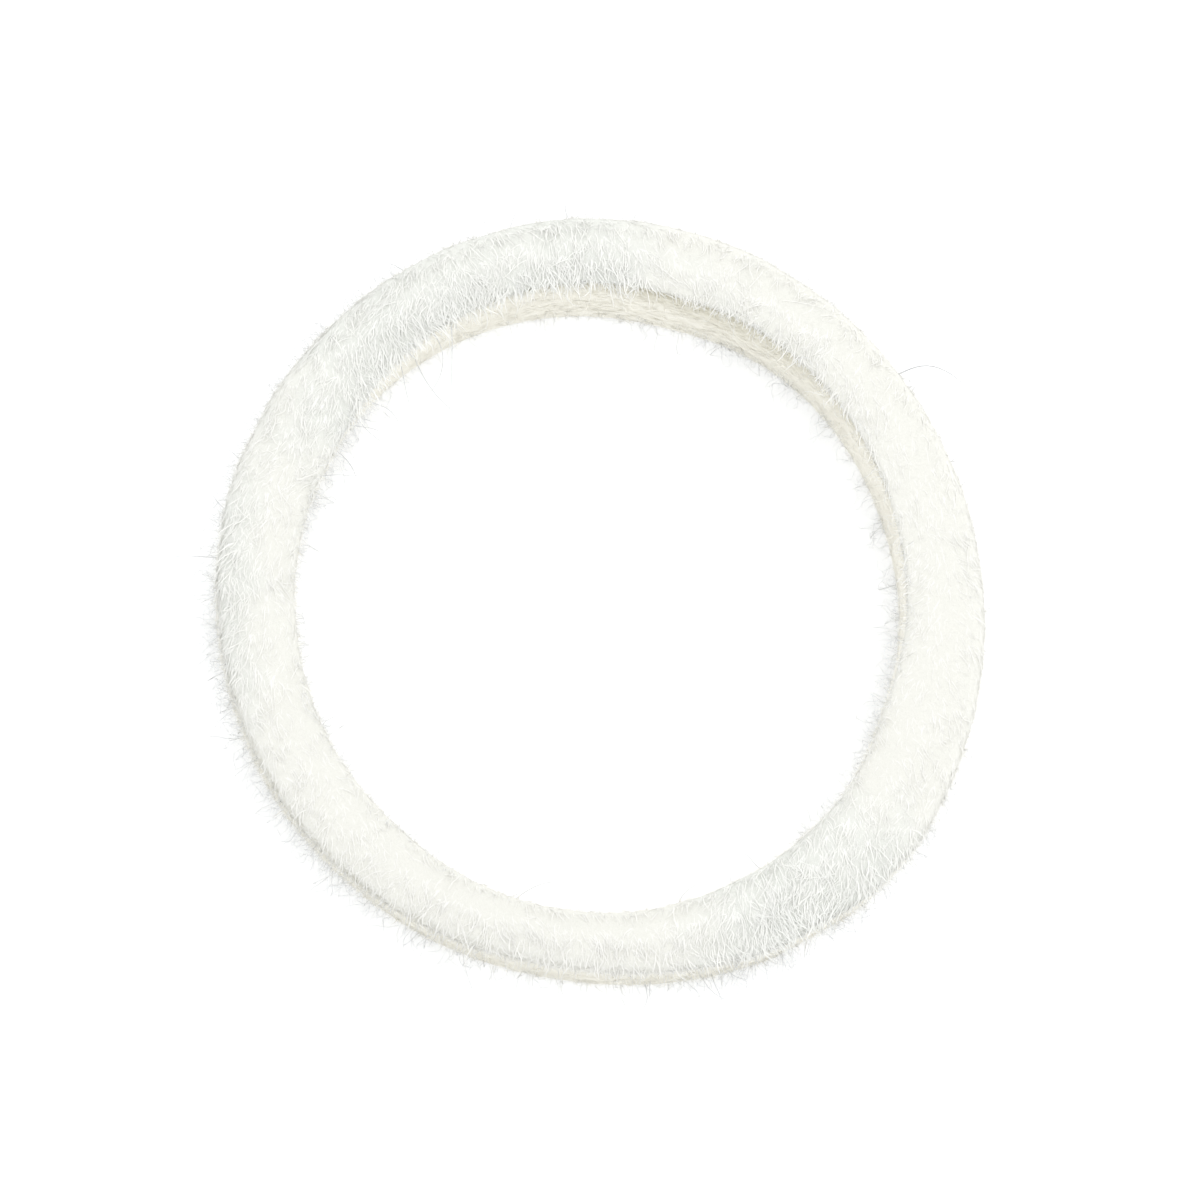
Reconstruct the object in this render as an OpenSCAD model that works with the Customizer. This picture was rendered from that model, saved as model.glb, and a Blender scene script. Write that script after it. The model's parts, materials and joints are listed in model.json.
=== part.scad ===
// Plain ring of thick pressed wool felt, cut from sheet in one piece. It lies on its lower
// face, with its axis along Z and the origin at the centre of that face.

/* [Ring] */
// Outside diameter of the ring
outer_d = 62; // [56:1:90]
// Diameter of the bore through the ring
bore_d = 50; // [24:1:52]
// Thickness of the felt sheet that the ring is cut from
thickness = 8; // [4:0.5:20]

/* [Edges] */
// Radius worn on the four cut edges, where the walls meet the faces
edge_r = 0.6; // [0.2:0.1:0.9]

/* [Hidden] */
outer_r = outer_d / 2;
bore_r = bore_d / 2;
band_w = outer_r - bore_r;
round_fn = 180;
edge_fn = 48;

// Cross-section of the band: a rectangle with four round corners, standing on the X axis
module band_section() {
    translate([bore_r, edge_r]) square([band_w, thickness - 2 * edge_r]);
    translate([bore_r + edge_r, 0]) square([band_w - 2 * edge_r, thickness]);
    for (x = [bore_r + edge_r, outer_r - edge_r], z = [edge_r, thickness - edge_r])
        translate([x, z]) circle(r = edge_r, $fn = edge_fn);
}

// The ring: its bore and its rim are true cylinders between the rounded edges
module felt_ring() {
    color("ivory") rotate_extrude($fn = round_fn) band_section();
}

felt_ring();
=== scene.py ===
"""A plain ring of thick white pressed wool felt, lying on a white floor.

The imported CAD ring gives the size. One lofted piece, felt_body, stands for it, and the wool that
stands off the felt is real mesh: thousands of tapered fibres in named pieces. Lengths are in
millimetres until a mesh is made. Angles run anticlockwise from +X, seen from above: places round
the ring are written in degrees, and their arrays are in radians.
"""

import json
import math

import bpy
import numpy as np
from mathutils import Matrix, Vector


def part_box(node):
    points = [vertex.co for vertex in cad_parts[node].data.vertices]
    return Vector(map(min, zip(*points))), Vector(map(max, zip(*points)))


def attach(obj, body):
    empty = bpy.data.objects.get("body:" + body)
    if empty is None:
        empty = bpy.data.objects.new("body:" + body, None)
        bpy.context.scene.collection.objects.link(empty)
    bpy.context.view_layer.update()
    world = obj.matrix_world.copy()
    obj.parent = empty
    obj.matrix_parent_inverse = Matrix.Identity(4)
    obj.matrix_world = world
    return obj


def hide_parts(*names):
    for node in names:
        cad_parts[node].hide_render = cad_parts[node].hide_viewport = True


MM = 0.001
TAU = 2 * math.pi
UP = np.array([0.0, 0.0, 1.0])

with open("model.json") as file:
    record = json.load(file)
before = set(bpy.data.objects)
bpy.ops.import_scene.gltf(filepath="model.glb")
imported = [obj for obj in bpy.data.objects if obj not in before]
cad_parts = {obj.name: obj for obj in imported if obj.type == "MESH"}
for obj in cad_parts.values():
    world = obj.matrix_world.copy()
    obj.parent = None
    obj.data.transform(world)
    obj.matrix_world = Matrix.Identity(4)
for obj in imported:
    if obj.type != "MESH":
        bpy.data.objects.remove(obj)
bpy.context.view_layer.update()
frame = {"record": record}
ring_low, ring_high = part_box("felt_ring")
OUTER_R = (ring_high.x - ring_low.x) / 2 / MM
THICK = (ring_high.z - ring_low.z) / MM
BORE_R = next(m for m in frame["record"]["mounts"] if m["name"] == "bore")["dims"]["r_mm"]

# ---------------------------------------------------------------- shape of the soft ring

FACE_INSET = 0.14   # the upper face lies this far inside the CAD box, and the nap fills the rest
CROWN = 0.13        # the upper face is this much higher at its middle than beside its edges
SHOULDER = THICK - FACE_INSET - CROWN   # the upper face's height beside its edges
RIM_TOP_R = 1.4     # the upper outer edge is soft and round
BORE_TOP_R = 0.45   # so is the upper inner edge, but less
LOWER_R = 0.25      # both lower edges
FOOT = 0.05         # height of the lower face above the floor
LEAST_FELT_Z = 0.02  # no lump of the felt hangs lower than this
WAIST = 0.14        # the cut walls draw in by this much at their waist
WAIST_POWER = 1.7   # 1 would put the waist half way up a wall, and this puts it two thirds up
RIM_TRIM = 0.10     # the soft ring's outer radius is larger than the CAD's by this much
BORE_TRIM = 0.30    # and its bore's radius by this much

# Soft felt relaxes out of round after it is cut: (lobes, depth, angle of one lobe's top)
RIM_LOBES = ((1, 0.30, 50), (2, 0.30, 110), (3, 0.23, 85))
BORE_LOBES = ((1, 0.15, -112), (2, 0.80, 84), (3, 0.10, 95))
# Places where an edge stands out or is pressed in: (angle, width, height)
RIM_BUMPS = ((313, 24, 0.85), (303, 5, -0.25), (165, 22, 0.25), (218, 14, 0.2), (262, 16, -0.25))
BORE_BUMPS = ((75, 14, -0.3), (150, 12, -0.35), (230, 24, -0.4), (338, 12, -0.4))
# Where a cut wall leans back into the felt: (angle, width, how far its foot is behind its top)
RIM_LEAN = ((222, 26, 0.6),)
BORE_LEAN = (
    (160, 30, 0.9),
    (147, 10, 0.3),
    (38, 22, 0.35),
    (5, 25, 0.45),
    (335, 22, 0.6),
    (88, 24, -0.6),
)

# Stretches where the nap stands up in tufts, painted grey there as painted shade among the upright
# fibres:
# (angle, width, strength, side of the band), where side is below 0 for the bore's, above 0 for the
# rim's and 0 for the whole width
TUFTED = (
    (128, 26, 1.0, -0.25),
    (94, 13, 0.65, -0.1),
    (58, 24, 0.28, -0.2),
    (174, 15, 0.25, 1.5),
    (192, 14, 0.18, 1.5),
    (303, 19, 1.0, 0.1),
)


def bump(angle, centre, width):
    """A smooth bump of height 1 at a centre angle."""
    away = np.angle(np.exp(1j * (angle - math.radians(centre))))
    return np.exp(-((away / math.radians(width)) ** 2))


def bumps_at(angle, places):
    """The sum of the bumps at (angle, width, height) places."""
    return sum(height * bump(angle, centre, width) for centre, width, height in places)


def outline(angle, mean_r, lobes, bumps):
    """The radius at an angle of a circle that has low lobes and a few bumps."""
    radius = np.full_like(angle, mean_r)
    for count, depth, top in lobes:
        radius += depth * np.cos(count * (angle - math.radians(top)))
    for centre, width, height in bumps:
        radius += height * bump(angle, centre, width)
    return radius


def rim_r(angle):
    return outline(angle, OUTER_R + RIM_TRIM, RIM_LOBES, RIM_BUMPS)


def bore_r(angle):
    return outline(angle, BORE_R + BORE_TRIM, BORE_LOBES, BORE_BUMPS)


def tufted(angle, across):
    """0 where the nap lies flat and cream-white, 1 where it stands up in tufts, which are painted
    grey as painted shade among the upright fibres.
    """
    total = np.zeros_like(angle)
    for centre, width, strength, side in TUFTED:
        share = np.maximum(1 + side * (2 * across - 1), 0)
        total += strength * bump(angle, centre, width) * share
    return np.clip(total, 0, 1)


CELLS = 32   # the noise repeats after this many of its cells
TABLE = np.random.default_rng(11).uniform(-1, 1, (CELLS, CELLS, CELLS))


def lattice_noise(points, scale, shift=0.0):
    """Smooth noise from -1 to 1 at points in millimetres, with features of about that scale."""
    p = points / scale + shift
    cell = np.floor(p).astype(int)
    f = p - cell
    f = f * f * (3 - 2 * f)
    total = np.zeros(len(points))
    for dx in (0, 1):
        for dy in (0, 1):
            for dz in (0, 1):
                weight = (
                    np.abs(1 - dx - f[:, 0])
                    * np.abs(1 - dy - f[:, 1])
                    * np.abs(1 - dz - f[:, 2])
                )
                x, y, z = ((cell + (dx, dy, dz)) % CELLS).T
                total += weight * TABLE[x, y, z]
    return total


FLAT, WALL, TOP_TURN, LOW_TURN = 16, 16, 8, 6   # rows in a face, a wall and the two kinds of edge


def section():
    """The band's cross-section, anticlockwise from the bore side of the lower face.

    Each row is a point's place across the band, from 0 at the bore to 1 at the rim, its offset
    from there, its height, its outward normal as (across, up) and 1 if it belongs to a cut wall.
    """
    rows = []

    def face(z, crown, bore_edge, rim_edge, normal_z):
        for k in range(FLAT):
            share = (k + 0.5) / FLAT
            across = share if normal_z < 0 else 1 - share
            offset = bore_edge * (1 - across) - rim_edge * across
            height = z + crown * (1 - (2 * across - 1) ** 2)
            rows.append((across, offset, height, 0.0, normal_z, 0))

    def turn(side, radius, centre_z, start, steps, on_wall=0):
        for k in range(steps + 1):
            angle = math.radians(start + 90 * k / steps)
            out, up = math.cos(angle), math.sin(angle)
            offset = radius * (out - 1 if side else out + 1)
            rows.append((side, offset, centre_z + radius * up, out, up, on_wall))

    def upright(side, top_edge, upward):
        bottom, top = FOOT + LOWER_R, SHOULDER - top_edge
        for k in range(1, WALL):
            share = k / WALL if upward else 1 - k / WALL
            draw_in = WAIST * math.sin(math.pi * share**WAIST_POWER)
            outward = 1.0 if side else -1.0
            rows.append((side, -outward * draw_in, bottom + share * (top - bottom), outward, 0.0, 1))

    face(FOOT, 0.0, LOWER_R, LOWER_R, -1.0)
    turn(1, LOWER_R, FOOT + LOWER_R, -90, LOW_TURN, on_wall=1)
    upright(1, RIM_TOP_R, upward=True)
    turn(1, RIM_TOP_R, SHOULDER - RIM_TOP_R, 0, TOP_TURN)
    face(SHOULDER, CROWN, BORE_TOP_R, RIM_TOP_R, 1.0)
    turn(0, BORE_TOP_R, SHOULDER - BORE_TOP_R, 90, TOP_TURN)
    upright(0, BORE_TOP_R, upward=False)
    turn(0, LOWER_R, FOOT + LOWER_R, 180, LOW_TURN, on_wall=1)
    return np.array(rows)


SECTION = section()
RIM_START = FLAT + LOW_TURN                   # the row where the outer wall begins, at its foot
TOP_START = RIM_START + WALL                  # where its upper edge begins
TOP_END = TOP_START + 2 * TOP_TURN + FLAT + 2   # where the bore's wall begins, at its top

TOP_ROWS = SECTION[TOP_START:TOP_END][::-1]   # from bore to rim, with both edges
BOTTOM_ROWS = SECTION[:FLAT]
RIM_FOOT_ROWS = SECTION[RIM_START:RIM_START + 6]
BORE_FOOT_ROWS = SECTION[-LOW_TURN - 4:-LOW_TURN]
# The walls, with parts of the edges above and below them
RIM_WALL_ROWS = SECTION[RIM_START - 2:TOP_START + 5]
BORE_WALL_ROWS = SECTION[TOP_END - 3:-LOW_TURN + 2]


def skin(angle, across, offset, z, normal_out, normal_up):
    """Points and outward normals on the soft ring. Across 0 is the bore, and 1 is the rim."""
    inner, outer = bore_r(angle), rim_r(angle)
    depth = 1 - z / THICK
    inner += depth * bumps_at(angle, BORE_LEAN)
    outer -= depth * bumps_at(angle, RIM_LEAN)
    radius = inner + across * (outer - inner) + offset
    cos, sin = np.cos(angle), np.sin(angle)
    points = np.stack([radius * cos, radius * sin, z], axis=-1)
    normals = np.stack([normal_out * cos, normal_out * sin, normal_up], axis=-1)
    return points, normals


def wall_top(at_bore):
    """The height at which a wall turns into its upper edge."""
    return SHOULDER - np.where(at_bore, BORE_TOP_R, RIM_TOP_R)


RIM_SHADE = 0.2      # the least shade on the outer wall
BORDER_START = 0.4   # the border between the nap and a cut wall starts this far above its top
BORE_BORDER = 0.8    # and is this deep at the bore
RIM_BORDER = 2.4     # and this deep at the rim


def under_lip(angle, across, z):
    """How shaded a wall is, from 0 to 1: most of all just under its upper edge."""
    at_bore = across < 0.5
    depth = np.where(at_bore, 0.8 + 3.4 * bump(angle, 62, 36), 1.0 + 3.0 * bump(angle, 222, 24))
    at_rim = RIM_SHADE + 0.4 * bump(angle, 225, 30)
    strength = np.where(at_bore, 0.25 + 0.7 * bump(angle, 70, 38), at_rim)
    shade = strength * np.clip(1 - (wall_top(at_bore) - z) / depth, 0, 1)
    return np.maximum(shade, np.where(at_bore, 0.0, RIM_SHADE))


def cut_share(points, across):
    """0 on a napped upper edge and 1 on the cut wall below it, with a ragged soft border between."""
    at_bore = across < 0.5
    share = wall_top(at_bore) + BORDER_START - points[:, 2]
    share /= np.where(at_bore, BORE_BORDER, RIM_BORDER)
    return np.clip(share + 0.25 * lattice_noise(points, 1.0, 7.0), 0, 1)


def ragged_tufts(angle, across, points):
    """The same as tufted, with a ragged border round each stretch."""
    return np.clip(tufted(angle, across) + 0.15 * lattice_noise(points, 2.0, 3.0), 0, 1)


def lumps(points, on_wall):
    """How far the matted surface stands out at each point, much less on the cut walls."""
    height = 0.07 * lattice_noise(points, 3.2) + 0.025 * lattice_noise(points, 1.1, 5.0)
    height += 0.015 * lattice_noise(points, 0.4, 9.0) - 0.02
    return height * (1 - 0.7 * on_wall)


def on_rows(rows, angle, share):
    """Points, normals and places across the band, at shares from 0 to 1 of the way along rows."""
    flat = np.stack([rows[:, 0] * (OUTER_R - BORE_R) + rows[:, 1], rows[:, 2]], axis=-1)
    way = np.concatenate([[0], np.cumsum(np.linalg.norm(np.diff(flat, axis=0), axis=1))])
    columns = [np.interp(share * way[-1], way, column) for column in rows.T]
    points, normals = skin(angle, *columns[:5])
    points += normals * lumps(points, columns[5])[:, None]
    return points, normals, columns[0]


# ---------------------------------------------------------------- materials

WHITE = (1, 1, 1)
CREAM = (0.775, 0.77, 0.725)
COOL_WHITE = (0.75, 0.758, 0.72)
# painted shade: the grey-white of the felt under the tufts stands for the shade among their upright
# fibres
SHADED_GREY_WHITE = (0.715, 0.727, 0.69)
WALL_CREAM = (0.90, 0.885, 0.815)
WALL_TAN = (0.87, 0.853, 0.785)
WALL_TOP = (0.83, 0.825, 0.785)
LIP_SHADE = (0.70, 0.685, 0.60)

# A Mix node for colours has several sockets of each name, so these are found by number
MIX_A, MIX_B, MIX_RESULT = 6, 7, 2


def new_material(name):
    mat = bpy.data.materials.new(name)
    mat.use_nodes = True
    return mat, mat.node_tree, mat.node_tree.nodes["Principled BSDF"]


def object_coords(tree, stretch=(1, 1, 1)):
    """Object coordinates, squeezed along each axis by stretch."""
    coords = tree.nodes.new("ShaderNodeTexCoord").outputs["Object"]
    mapping = tree.nodes.new("ShaderNodeMapping")
    mapping.inputs["Scale"].default_value = stretch
    tree.links.new(coords, mapping.inputs["Vector"])
    return mapping.outputs["Vector"]


def attribute(tree, name):
    """The node that reads a value stored on the mesh."""
    node = tree.nodes.new("ShaderNodeAttribute")
    node.attribute_name = name
    return node


def noise_at(tree, coords, scale, detail, rough=0.5, distort=0.0):
    tex = tree.nodes.new("ShaderNodeTexNoise")
    tex.inputs["Scale"].default_value = scale
    tex.inputs["Detail"].default_value = detail
    tex.inputs["Roughness"].default_value = rough
    tex.inputs["Distortion"].default_value = distort
    tree.links.new(coords, tex.inputs["Vector"])
    return tex.outputs["Fac"]


def ramp_between(tree, factor, stops):
    """A colour ramp from (place, linear colour) stops."""
    ramp = tree.nodes.new("ShaderNodeValToRGB")
    elements = ramp.color_ramp.elements
    while len(elements) < len(stops):
        elements.new(0.5)
    for element, (place, colour) in zip(elements, stops):
        element.position = place
        element.color = (*colour, 1)
    tree.links.new(factor, ramp.inputs["Fac"])
    return ramp.outputs["Color"]


def multiply_colour(tree, amount, a, b):
    mix = tree.nodes.new("ShaderNodeMix")
    mix.data_type = "RGBA"
    mix.blend_type = "MULTIPLY"
    mix.inputs["Factor"].default_value = amount
    tree.links.new(a, mix.inputs[MIX_A])
    tree.links.new(b, mix.inputs[MIX_B])
    return mix.outputs[MIX_RESULT]


def wool_finish(shader, roughness, sheen):
    """Matt, with the soft sheen that wool has at grazing angles."""
    shader.inputs["Roughness"].default_value = roughness
    shader.inputs["Specular IOR Level"].default_value = 0.2
    shader.inputs["Sheen Weight"].default_value = sheen
    shader.inputs["Sheen Roughness"].default_value = 0.5


def matted_bump(tree, shader, fine, coarse, strength):
    """Bump from fine crossing fibres and from the lumps that they mat into."""
    height = tree.nodes.new("ShaderNodeMath")
    height.operation = "MULTIPLY_ADD"
    tree.links.new(coarse, height.inputs[0])
    height.inputs[1].default_value = 1.6
    tree.links.new(fine, height.inputs[2])
    bump_node = tree.nodes.new("ShaderNodeBump")
    bump_node.inputs["Strength"].default_value = strength
    bump_node.inputs["Distance"].default_value = 0.08 * MM
    tree.links.new(height.outputs[0], bump_node.inputs["Height"])
    tree.links.new(bump_node.outputs[0], shader.inputs["Normal"])


def face_material():
    """The felt's surface under the nap: cool white, and greyer where the nap is tufted, as painted
    shade among the upright fibres. The fine bump noise also paints shade into its low spots.
    """
    mat, tree, shader = new_material("felt_face")
    coords = object_coords(tree)
    fine = noise_at(tree, coords, 9000, 3, 0.65, 1.5)
    coarse = noise_at(tree, coords, 1800, 2, 0.5, 0.6)
    matted_bump(tree, shader, fine, coarse, 0.6)
    patch = attribute(tree, "tufted").outputs["Fac"]
    base = ramp_between(tree, patch, ((0.25, CREAM), (0.6, COOL_WHITE), (1.0, SHADED_GREY_WHITE)))
    shade = ramp_between(tree, fine, ((0.30, (0.90, 0.91, 0.89)), (0.62, WHITE)))
    base = multiply_colour(tree, 0.8, base, shade)
    tree.links.new(base, shader.inputs["Base Color"])
    wool_finish(shader, 0.92, 0.2)
    return mat


def wall_material():
    """The cut walls: dense and warm cream, in the flat layers that felt is laid up in.

    They turn into the cooler white of the nap at their upper edges, and are shaded below them.
    """
    mat, tree, shader = new_material("felt_cut_wall")
    fine = noise_at(tree, object_coords(tree, (1, 1, 2.2)), 6000, 3, 0.6, 1.0)
    coarse = noise_at(tree, object_coords(tree, (1, 1, 2.0)), 700, 3, 0.55, 0.4)
    matted_bump(tree, shader, fine, coarse, 0.5)
    base = ramp_between(tree, coarse, ((0.30, WALL_TAN), (0.60, WALL_CREAM)))
    shade = ramp_between(tree, fine, ((0.30, (0.90, 0.89, 0.86)), (0.60, WHITE)))
    base = multiply_colour(tree, 0.8, base, shade)
    blend = tree.nodes.new("ShaderNodeMix")
    blend.data_type = "RGBA"
    blend.inputs[MIX_A].default_value = (*WALL_TOP, 1)
    tree.links.new(base, blend.inputs[MIX_B])
    tree.links.new(attribute(tree, "cut_share").outputs["Fac"], blend.inputs["Factor"])
    lip = attribute(tree, "under_lip").outputs["Fac"]
    shade = ramp_between(tree, lip, ((0.0, WHITE), (1.0, LIP_SHADE)))
    base = multiply_colour(tree, 1.0, blend.outputs[MIX_RESULT], shade)
    tree.links.new(base, shader.inputs["Base Color"])
    wool_finish(shader, 0.9, 0.15)
    return mat


def fibre_material():
    """Single wool fibres: each has its own tint, which varies a little along it."""
    mat, tree, shader = new_material("wool_fibre")
    tint = attribute(tree, "tint").outputs["Color"]
    noise = noise_at(tree, object_coords(tree), 2500, 2)
    mottle = ramp_between(tree, noise, ((0.3, (0.97, 0.97, 0.965)), (0.7, WHITE)))
    base = multiply_colour(tree, 1.0, tint, mottle)
    tree.links.new(base, shader.inputs["Base Color"])
    wool_finish(shader, 0.6, 0.1)
    return mat


# ---------------------------------------------------------------- meshes


def mesh_object(name, points, corner_lists, smooth=True):
    """A mesh object from points in millimetres and arrays of faces, one array per corner count."""
    mesh = bpy.data.meshes.new(name)
    mesh.vertices.add(len(points))
    mesh.vertices.foreach_set("co", (points * MM).astype(np.float32).ravel())
    corners = np.concatenate([c.ravel() for c in corner_lists]).astype(np.int32)
    counts = np.concatenate([np.full(len(c), c.shape[1]) for c in corner_lists])
    mesh.loops.add(len(corners))
    mesh.loops.foreach_set("vertex_index", corners)
    mesh.polygons.add(len(counts))
    starts = np.concatenate([[0], np.cumsum(counts)[:-1]]).astype(np.int32)
    mesh.polygons.foreach_set("loop_start", starts)
    mesh.polygons.foreach_set("use_smooth", np.full(len(counts), smooth))
    mesh.update(calc_edges=True)
    mesh.validate()
    made = bpy.data.objects.new(name, mesh)
    bpy.context.scene.collection.objects.link(made)
    return made


def felt_piece(made, *mats):
    """Gives a piece its materials, and makes it part of the ring."""
    for mat in mats:
        made.data.materials.append(mat)
    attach(made, "root")


def felt_body(steps=1040):
    """The ring itself: a closed band, lumpy on its faces and smooth on its cut walls."""
    count = len(SECTION)
    angle = np.repeat(np.arange(steps) / steps * TAU, count)
    across, offset, z, normal_out, normal_up, on_wall = np.tile(SECTION, (steps, 1)).T
    points, normals = skin(angle, across, offset, z, normal_out, normal_up)
    points += normals * lumps(points, on_wall)[:, None]
    points[:, 2] = np.maximum(points[:, 2], LEAST_FELT_Z)
    i, j = np.meshgrid(np.arange(steps), np.arange(count), indexing="ij")
    here, there = i * count, (i + 1) % steps * count
    up = (j + 1) % count
    quads = np.stack([here + j, there + j, there + up, here + up], axis=-1).reshape(-1, 4)
    made = mesh_object("felt_body", points, [quads])
    felt_piece(made, face_material(), wall_material())
    wall_quad = (SECTION[j, 5] + SECTION[up, 5]).ravel() > 0
    made.data.polygons.foreach_set("material_index", wall_quad.astype(np.int32))
    stored = {
        "tufted": ragged_tufts(angle, across, points),
        "under_lip": under_lip(angle, across, z),
        "cut_share": cut_share(points, across),
    }
    for name, values in stored.items():
        layer = made.data.attributes.new(name, "FLOAT", "POINT")
        layer.data.foreach_set("value", values.astype(np.float32))
    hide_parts("felt_ring")


WOOL = fibre_material()
SIDES = 3            # corners of a fibre's section
LEAST_WOOL_Z = 0.03  # no fibre hangs lower than this
PER_PIECE = 8900     # fibres of 4 segments in one piece, which keeps it under 200,000 triangles
TAPER = 0.65         # a fibre loses up to this share of its width before its pointed tip,
TAPER_POWER = 1.5    # and loses it faster towards the tip
LAID_WAVE = 0.85     # a laid fibre's wave loses this share of its part off the surface,
LAID_HEIGHT = 0.2    # and its section has this share of its usual height


def unit(vectors):
    return vectors / np.maximum(np.linalg.norm(vectors, axis=-1, keepdims=True), 1e-9)


def fibres(
    name, roots, start, end, length, width, tint, tip=None, *, seed, wave, segments=4, laid_on=None
):
    """One piece of tapered wool fibres, each a closed three-sided tube that bends as it goes.

    A fibre leaves its root along start and ends along end, with a slow wave of its own. Its
    colour turns from tint at the root to tip. Fibres laid on a surface, whose normals are given,
    are pressed flat against it and wave along it.
    """
    rng = np.random.default_rng(seed)
    count = len(roots)
    start, end = unit(start), unit(end)
    wave_axis = unit(rng.normal(size=(count, 3)))
    if laid_on is not None:
        wave_axis -= LAID_WAVE * laid_on * np.sum(wave_axis * laid_on, axis=1, keepdims=True)
    phase = rng.uniform(0, TAU, (count, 1))
    turns = rng.uniform(0.6, 1.4, (count, 1))
    line = [roots]
    heading = []
    for k in range(segments):
        share = (k + 0.5) / segments
        way = unit(start * (1 - share) + end * share)
        way = unit(way + wave * wave_axis * np.sin(phase + TAU * turns * share))
        heading.append(way)
        line.append(line[-1] + way * (length / segments)[:, None])
    line = np.stack(line, axis=1)
    heading = np.stack(heading, axis=1)
    line[..., 2] = np.maximum(line[..., 2], LEAST_WOOL_Z)
    upward = wave_axis + 1e-6 if laid_on is None else laid_on
    side = unit(np.cross(upward[:, None, :], heading))
    other = np.cross(heading, side) * (1.0 if laid_on is None else LAID_HEIGHT)
    shares = np.arange(segments) / segments
    radius = (0.5 * width)[:, None] * (1 - TAPER * shares**TAPER_POWER)[None, :]
    turn = np.arange(SIDES) / SIDES * TAU + TAU / 4
    spoke = np.cos(turn)[:, None] * side[:, :, None, :] + np.sin(turn)[:, None] * other[:, :, None, :]
    rings = line[:, :segments, None, :] + radius[:, :, None, None] * spoke
    each = SIDES * segments + 1
    points = np.concatenate([rings.reshape(count, -1, 3), line[:, -1:, :]], axis=1)
    first = (np.arange(count) * each)[:, None, None]
    k, s = np.meshgrid(np.arange(segments - 1) * SIDES, np.arange(SIDES), indexing="ij")
    s_next = (s + 1) % SIDES
    quad = np.stack([k + s, k + s_next, k + SIDES + s_next, k + SIDES + s], axis=-1)
    quads = (quad.reshape(1, -1, 4) + first).reshape(-1, 4)
    last = (segments - 1) * SIDES
    tips = [[last + a, last + (a + 1) % SIDES, each - 1] for a in range(SIDES)]
    root_cap = [[2, 1, 0]]
    tris = (np.array(tips + root_cap)[None] + first).reshape(-1, 3)
    made = mesh_object(name, points.reshape(-1, 3), [quads, tris], smooth=laid_on is None)
    felt_piece(made, WOOL)
    along = np.concatenate([np.repeat(shares, SIDES), [1.0]])
    turned = np.clip(2 * along, 0, 1)[None, :, None]
    colours = np.ones((count, each, 4), np.float32)
    tip = tint if tip is None else tip
    colours[..., :3] = tint[:, None, :] * (1 - turned) + tip[:, None, :] * turned
    layer = made.data.color_attributes.new("tint", "FLOAT_COLOR", "POINT")
    layer.data.foreach_set("color", colours.ravel())


CREAM_WOOL = np.array((0.965, 0.96, 0.925))
COOL_WOOL = np.array((0.955, 0.96, 0.93))
GREY_WOOL = np.array((0.945, 0.95, 0.92))
WALL_WOOL = np.array((0.96, 0.94, 0.87))
LOOSE_WOOL = np.array((0.92, 0.935, 0.945))
MOST_BRIGHT = 0.97   # no wool is brighter than this
EDGE_BRIGHT = 0.86   # brightness of the wool where a wall turns into the nap
SWIRL = 0.7          # how far the nap's direction wanders from place to place, in radians
LAID_RISE = 0.9      # a brushed fibre's direction loses this share of its part off the surface


def nap_tint(rng, patch, low, high):
    """Each fibre's colour: cream where the nap lies flat, cool grey-white in the tufts, where the
    grey is painted shade among the upright fibres.

    Its brightness is random between low and high, which may differ from fibre to fibre.
    """
    tint = CREAM_WOOL + (COOL_WOOL - CREAM_WOOL) * np.clip(patch * 2 - 0.4, 0, 1)[:, None]
    tint = tint + (GREY_WOOL - COOL_WOOL) * np.clip(patch * 2 - 1, 0, 1)[:, None]
    bright = low + (high - low) * rng.uniform(0, 1, len(patch))
    return np.clip(tint * bright[:, None], 0, MOST_BRIGHT)


def brushed(points, normals, rng, stray, rise):
    """Directions of fibres brushed towards -Y, laid along the surface and lifted by rise."""
    turn = -math.pi / 2 + SWIRL * lattice_noise(points, 6.0, 1.0)
    turn += SWIRL * lattice_noise(points, 1.3, 4.0)
    turn += rng.normal(0, stray, len(points))
    way = np.stack([np.cos(turn), np.sin(turn), np.zeros(len(points))], axis=-1)
    way -= LAID_RISE * normals * np.sum(way * normals, axis=1, keepdims=True)
    return unit(way) + normals * rise[:, None]


def around(angle):
    """Level unit vectors at angles round the ring: outwards, and anticlockwise along it."""
    level = np.zeros(len(angle))
    out = np.stack([np.cos(angle), np.sin(angle), level], axis=-1)
    along = np.stack([-np.sin(angle), np.cos(angle), level], axis=-1)
    return out, along


def in_pieces(name, seed, roots, start, end, length, width, tint, laid_on, wave=0.2):
    """The same as fibres laid on a surface, in as many pieces as the count needs."""
    parts = math.ceil(len(roots) / PER_PIECE)
    for part in range(parts):
        pick = slice(part, None, parts)
        fibres(
            f"{name}_{part + 1}",
            roots[pick],
            start[pick],
            end[pick],
            length[pick],
            width[pick],
            tint[pick],
            seed=seed + part,
            wave=wave,
            laid_on=laid_on[pick],
        )


def top_roots(rng, count, least):
    """Roots of fibres on the upper face: all that fall in the tufts, and the least share elsewhere.

    Gives points, normals, how tufted each place is, and how long its fibre may be, which falls
    from 1 to 0.45 over the last fifth of the way to the rim.
    """
    angle = rng.uniform(0, TAU, 4 * count)
    share = rng.uniform(0, 1, 4 * count)
    points, normals, across = on_rows(TOP_ROWS, angle, share)
    patch = ragged_tufts(angle, across, points)
    room = 1 - 0.55 * np.clip((share - 0.8) / 0.2, 0, 1)
    keep = np.flatnonzero(rng.uniform(0, 1, 4 * count) < least + (1 - least) * patch)[:count]
    return points[keep], normals[keep], patch[keep], room[keep]


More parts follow.
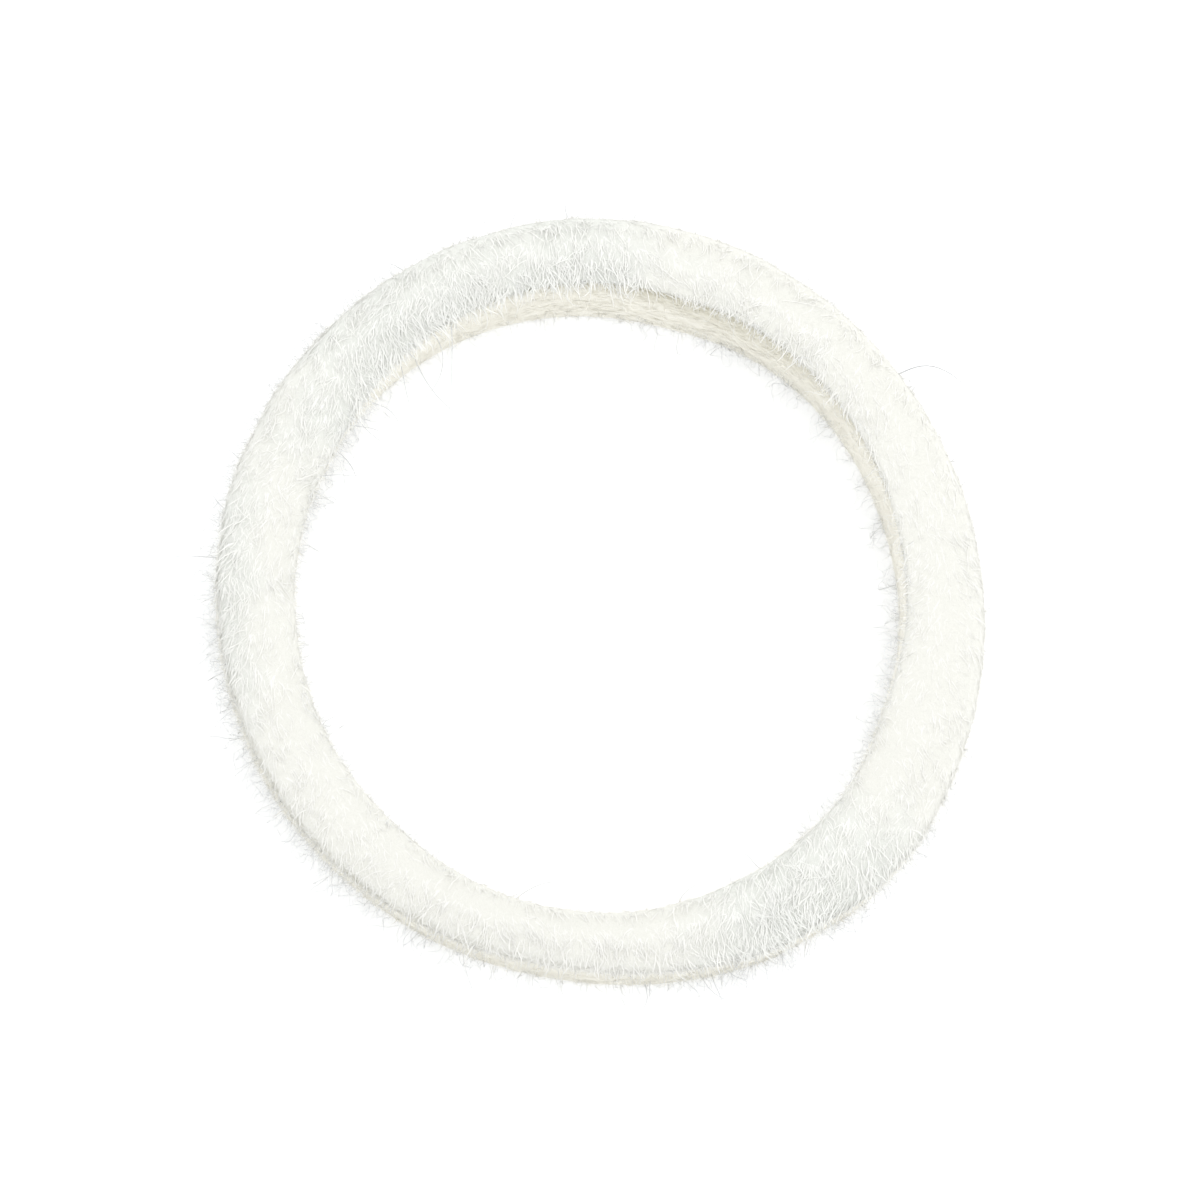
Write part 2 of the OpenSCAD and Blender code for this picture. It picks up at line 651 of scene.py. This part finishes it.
def top_nap(count=17800):
    """The fine nap on the upper face: short fibres, which lie nearly flat over each other."""
    rng = np.random.default_rng(21)
    points, normals, patch, room = top_roots(rng, count, 0.85)
    count = len(points)
    start = brushed(points, normals, rng, 0.9, 0.03 + 0.2 * patch * rng.uniform(0, 1, count))
    end = brushed(points, normals, rng, 0.9, rng.uniform(-0.06, 0.02, count) + 0.08 * patch)
    length = rng.lognormal(-0.3, 0.3, count) * room
    width = rng.uniform(0.05, 0.08, count)
    mottle = 1 + 0.02 * lattice_noise(points, 0.7, 6.0)
    # the nap is painted a little darker in the tufts, as painted shade among the upright fibres
    tint = nap_tint(rng, patch, 0.82 - 0.04 * patch, 0.85) * mottle[:, None]
    in_pieces("top_nap", 100, points - 0.03 * normals, start, end, length, width, tint, normals)


def top_strands(count=8800):
    """Longer strands on top of the nap. They stand up in the tufts, and lie down elsewhere."""
    rng = np.random.default_rng(22)
    points, normals, patch, room = top_roots(rng, count, 0.3)
    count = len(points)
    start = brushed(points, normals, rng, 0.5, 0.05 + 0.22 * patch * rng.uniform(0, 1, count))
    end = brushed(points, normals, rng, 0.5, 0.1 * patch * rng.uniform(0, 1, count))
    length = rng.lognormal(0.05, 0.35, count) * (0.9 + 0.3 * patch) * room
    width = rng.uniform(0.085, 0.125, count)
    tint = nap_tint(rng, patch * 0.7, 0.83 + 0.02 * patch, 0.86 + 0.06 * patch)
    in_pieces("top_strands", 200, points - 0.01 * normals, start, end, length, width, tint, normals)


def bottom_nap(count=8800):
    """The nap on the lower face, pressed flat by the ring's own weight."""
    rng = np.random.default_rng(23)
    angle = rng.uniform(0, TAU, count)
    points, normals, _ = on_rows(BOTTOM_ROWS, angle, rng.uniform(0, 1, count))
    start = brushed(points, normals, rng, 1.6, rng.uniform(0.0, 0.3, count))
    end = brushed(points, normals, rng, 1.6, np.zeros(count))
    length = rng.lognormal(0.1, 0.3, count)
    width = rng.uniform(0.05, 0.08, count)
    tint = nap_tint(rng, np.full(count, 0.4), 0.92, 1.0)
    fibres("bottom_nap", points - 0.02 * normals, start, end, length, width, tint, seed=23, wave=0.16)


LONGEST_WISP = 5.0   # no loose fibre is longer than this
BRUSH_PULL = np.array([0, -0.35, 0])   # loose fibres bend a little the way the nap is brushed
# Where the loose wool is thick along each edge: (angle, width, strength)
RIM_LOOSE = (
    (225, 28, 0.75),
    (178, 24, 0.7),
    (135, 16, 0.7),
    (100, 22, 0.5),
    (50, 22, 0.4),
    (290, 10, 0.7),
    (315, 18, 0.5),
)
BORE_LOOSE = ((155, 16, 1.0), (195, 25, 0.7), (232, 18, 0.9), (345, 24, 1.0), (50, 24, 0.6))


def loose_angles(rng, count, places, least=0.22):
    """Random angles, thick where places say and thin elsewhere."""
    angle = rng.uniform(0, TAU, count * 6)
    weight = least + bumps_at(angle, places)
    return angle[rng.uniform(0, 1.3, len(angle)) < weight][:count]


def fringe(name, count, at_rim, at_top, seed, reach, palest, curl=1.2):
    """Loose fibres along one edge of the ring, which stand out over the wall or the floor.

    Their usual length is reach, and palest is how pale their tips may be.
    """
    rng = np.random.default_rng(seed)
    angle = loose_angles(rng, count, RIM_LOOSE if at_rim else BORE_LOOSE)
    count = len(angle)
    sign = 1.0 if at_rim else -1.0
    if at_top:
        share = 1 - rng.uniform(0.0, 0.08, count) if at_rim else rng.uniform(0.0, 0.11, count)
        points, normals, _ = on_rows(TOP_ROWS, angle, share)
    else:
        rows = RIM_FOOT_ROWS if at_rim else BORE_FOOT_ROWS
        points, normals, _ = on_rows(rows, angle, rng.uniform(0, 1, count))
    radial, tangent = around(angle)
    radial *= sign
    swirl = 0.7 * lattice_noise(points, 3.0, 2.0) + rng.normal(0, 1.1, count)
    lift = rng.normal(-0.15 if at_top else 0.1, 0.35, count)
    start = normals * 0.7 + radial * 0.5 + rng.normal(0, 0.5, (count, 3))
    end = radial * 0.9 + tangent * swirl[:, None] + UP * lift[:, None]
    end += BRUSH_PULL
    length = np.minimum(reach * rng.lognormal(0.0, 0.5, count), LONGEST_WISP)
    width = rng.uniform(0.03, 0.048, count)
    tint = nap_tint(rng, np.full(count, 0.3), 0.85, 0.95)
    tip = LOOSE_WOOL * rng.uniform(palest - 0.2, palest, (count, 1))
    roots = points - normals * 0.06
    fibres(name, roots, start, end, length, width, tint, tip, seed=seed, wave=curl, segments=6)


def wall_fuzz(name, count, at_rim, seed, dark, pale):
    """Short fibres that lie close along a cut wall, and over its soft edges.

    On the wall itself, their brightness is random between dark and pale.
    """
    rng = np.random.default_rng(seed)
    angle = rng.uniform(0, TAU, count)
    rows = RIM_WALL_ROWS if at_rim else BORE_WALL_ROWS
    points, normals, across = on_rows(rows, angle, rng.uniform(0, 1, count))
    tangent = around(angle)[1]
    downward = np.cross(normals, tangent) * (-1.0 if at_rim else 1.0)
    cut = cut_share(points, across)
    turn = rng.normal(0, 0.8, count) + math.pi * rng.integers(0, 2, count)
    drop = np.abs(np.sin(turn)) * (1 - 2 * cut * rng.uniform(0, 1, count))
    along = tangent * np.cos(turn)[:, None] + downward * drop[:, None]
    start = normals * 0.2 + along
    end = along + normals * rng.uniform(-0.1, 0.2, count)[:, None]
    length = rng.uniform(0.5, 1.6, count)
    width = rng.uniform(0.045, 0.075, count)
    napped = CREAM_WOOL * EDGE_BRIGHT
    tint = napped + (WALL_WOOL * rng.uniform(dark, pale, (count, 1)) - napped) * cut[:, None]
    tint *= 1 - (1 - np.array(LIP_SHADE)) * under_lip(angle, across, points[:, 2])[:, None]
    roots = points - normals * 0.01
    in_pieces(name, seed, roots, start, end, length, width, tint, normals, wave=0.4)


# Single long hairs that have come loose: (angle, 1 at the rim and 0 at the bore, height, length,
# the way it leaves and the way it ends, both as angles seen from above)
LONG_HAIRS = (
    (119, 0, 7.2, 9.0, 285, 250),
    (123, 0, 7.0, 7.0, 310, 205),
    (127, 0, 4.0, 9.5, 290, 340),
    (131, 0, 6.5, 4.5, 300, 270),
    (141, 0, 6.8, 4.2, 345, 300),
    (144, 0, 6.0, 4.0, 300, 340),
    (147, 0, 6.5, 3.6, 10, 320),
    (152, 0, 6.0, 3.8, 330, 280),
    (158, 0, 6.5, 3.4, 350, 20),
    (168, 1, 5.5, 2.4, 150, 105),
    (173, 1, 0.6, 5.2, 172, 196),
    (160, 1, 5.0, 2.2, 130, 160),
    (121, 1, 6.0, 2.3, 140, 165),
    (104, 1, 7.3, 3.0, 75, 55),
    (95, 1, 6.8, 2.0, 110, 80),
    (38, 1, 6.5, 6.4, 22, 318),
    (22, 1, 5.0, 2.6, 60, 350),
    (353, 1, 4.5, 1.8, 10, 350),
    (254, 0, 5.0, 7.0, 40, 340),
    (283, 0, 5.5, 4.0, 60, 30),
    (300, 0, 6.0, 2.4, 150, 120),
    (207, 0, 5.0, 2.4, 60, 20),
    (186, 0, 5.5, 2.2, 20, 350),
    (277, 1, 1.5, 2.4, 290, 240),
    (278, 1, 1.8, 1.8, 250, 290),
    (285, 1, 2.0, 3.4, 300, 340),
    (287, 1, 1.6, 2.8, 280, 300),
    (289, 1, 2.0, 2.2, 320, 350),
    (297, 1, 2.5, 2.0, 300, 260),
    (322, 1, 3.0, 2.0, 320, 345),
)


def long_hairs():
    """The long hairs of the list above, each with a slow curl of its own."""
    angle, at_rim, z, length, leaves, ends = np.array(LONG_HAIRS, float).T
    angle, leaves, ends = (np.radians(v) for v in (angle, leaves, ends))
    sign = 2 * at_rim - 1
    points = skin(angle, at_rim, -0.15 * sign, z, sign, np.zeros(len(z)))[0]

    def heading(turn, rise):
        return np.stack([np.cos(turn), np.sin(turn), np.full(len(turn), rise)], axis=-1)

    # key_lit_hair is 1 at the hair at 38°, which the key light falls on: it is drawn thicker, and its
    # tint gets painted shade so that it still shows against the lit floor
    key_lit_hair = bump(angle, 38, 8)
    width = 0.08 + 0.06 * key_lit_hair
    tint = LOOSE_WOOL * (0.76 - 0.12 * key_lit_hair)[:, None]
    fibres(
        "long_hairs",
        points,
        heading(leaves, 0.1),
        heading(ends, -0.35),
        length,
        width,
        tint,
        seed=51,
        wave=0.2,
        segments=12,
    )


felt_body()
top_nap()
top_strands()
bottom_nap()
fringe("rim_fringe_top", 1300, at_rim=True, at_top=True, seed=31, reach=1.4, palest=0.93)
fringe("bore_fringe_top", 700, at_rim=False, at_top=True, seed=32, reach=1.5, palest=1.02)
fringe("rim_fringe_bottom", 550, at_rim=True, at_top=False, seed=33, reach=1.6, palest=1.02)
fringe("bore_fringe_bottom", 600, at_rim=False, at_top=False, seed=34, reach=1.3, palest=1.0)
fringe("rim_wisps", 700, at_rim=True, at_top=False, seed=35, reach=2.8, palest=1.0, curl=2.4)
fringe("bore_wisps", 400, at_rim=False, at_top=False, seed=36, reach=2.8, palest=0.98, curl=2.4)
# the outer wall's fuzz reaches darker than the bore's: painted shade, like RIM_SHADE on the outer
# wall itself
wall_fuzz("rim_wall_fuzz", 17000, at_rim=True, seed=41, dark=0.84, pale=0.98)
wall_fuzz("bore_wall_fuzz", 13000, at_rim=False, seed=42, dark=0.94, pale=1.0)
long_hairs()

# ---------------------------------------------------------------- floor, light and camera


def towards(azimuth, elevation):
    """A unit vector from the ring towards a place in the room."""
    a, e = math.radians(azimuth), math.radians(elevation)
    return Vector((math.cos(e) * math.cos(a), math.cos(e) * math.sin(a), math.sin(e)))


def white_floor(half=1.5, glow=0.26):
    """A white sweep, lit a little from below so that shadows on it stay faint."""
    mesh = bpy.data.meshes.new("white_floor")
    square = [(-half, -half, 0), (half, -half, 0), (half, half, 0), (-half, half, 0)]
    mesh.from_pydata(square, [], [(0, 1, 2, 3)])
    floor = bpy.data.objects.new("white_floor", mesh)
    bpy.context.scene.collection.objects.link(floor)
    mat, _, shader = new_material("floor_white")
    shader.inputs["Base Color"].default_value = (0.80, 0.805, 0.815, 1)
    shader.inputs["Roughness"].default_value = 0.9
    shader.inputs["Specular IOR Level"].default_value = 0.0
    shader.inputs["Emission Color"].default_value = (0.98, 0.99, 1.0, 1)
    shader.inputs["Emission Strength"].default_value = glow
    mesh.materials.append(mat)


def light_world(colour, strength):
    world = bpy.data.worlds.new("white_studio")
    world.use_nodes = True
    background = world.node_tree.nodes["Background"]
    background.inputs["Color"].default_value = (*colour, 1)
    background.inputs["Strength"].default_value = strength
    bpy.context.scene.world = world


def softbox(name, azimuth, elevation, distance, size, power):
    """A square area light that faces the ring. Distances are in metres."""
    data = bpy.data.lights.new(name, "AREA")
    data.shape = "SQUARE"
    data.size = size
    data.energy = power
    data.color = (1.0, 0.98, 0.95)
    lamp = bpy.data.objects.new(name, data)
    place = towards(azimuth, elevation) * distance
    lamp.location = place
    lamp.rotation_euler = (-place).to_track_quat("-Z", "Y").to_euler()
    bpy.context.scene.collection.objects.link(lamp)


def aim_camera(azimuth, elevation, distance, frame_width, target):
    """A camera that sees +Y upright. frame_width is what the frame spans at the target, in metres."""
    data = bpy.data.cameras.new("camera")
    data.sensor_width = 36.0
    data.lens = data.sensor_width * distance / frame_width
    data.clip_start = 0.01
    camera = bpy.data.objects.new("camera", data)
    back = towards(azimuth, elevation)
    right = Vector((0, 1, 0)).cross(back).normalized()
    camera.location = Vector(target) + back * distance
    camera.rotation_euler = Matrix((right, back.cross(right), back)).transposed().to_euler()
    bpy.context.scene.collection.objects.link(camera)
    bpy.context.scene.camera = camera


white_floor()
light_world(colour=(0.99, 0.995, 1.0), strength=1.205)
softbox("key_softbox", azimuth=42, elevation=50, distance=0.55, size=0.8, power=1.0)
aim_camera(252, 75, distance=0.30, frame_width=0.0972, target=(0, 0, THICK / 2 * MM))
bpy.context.scene.view_settings.view_transform = "Standard"
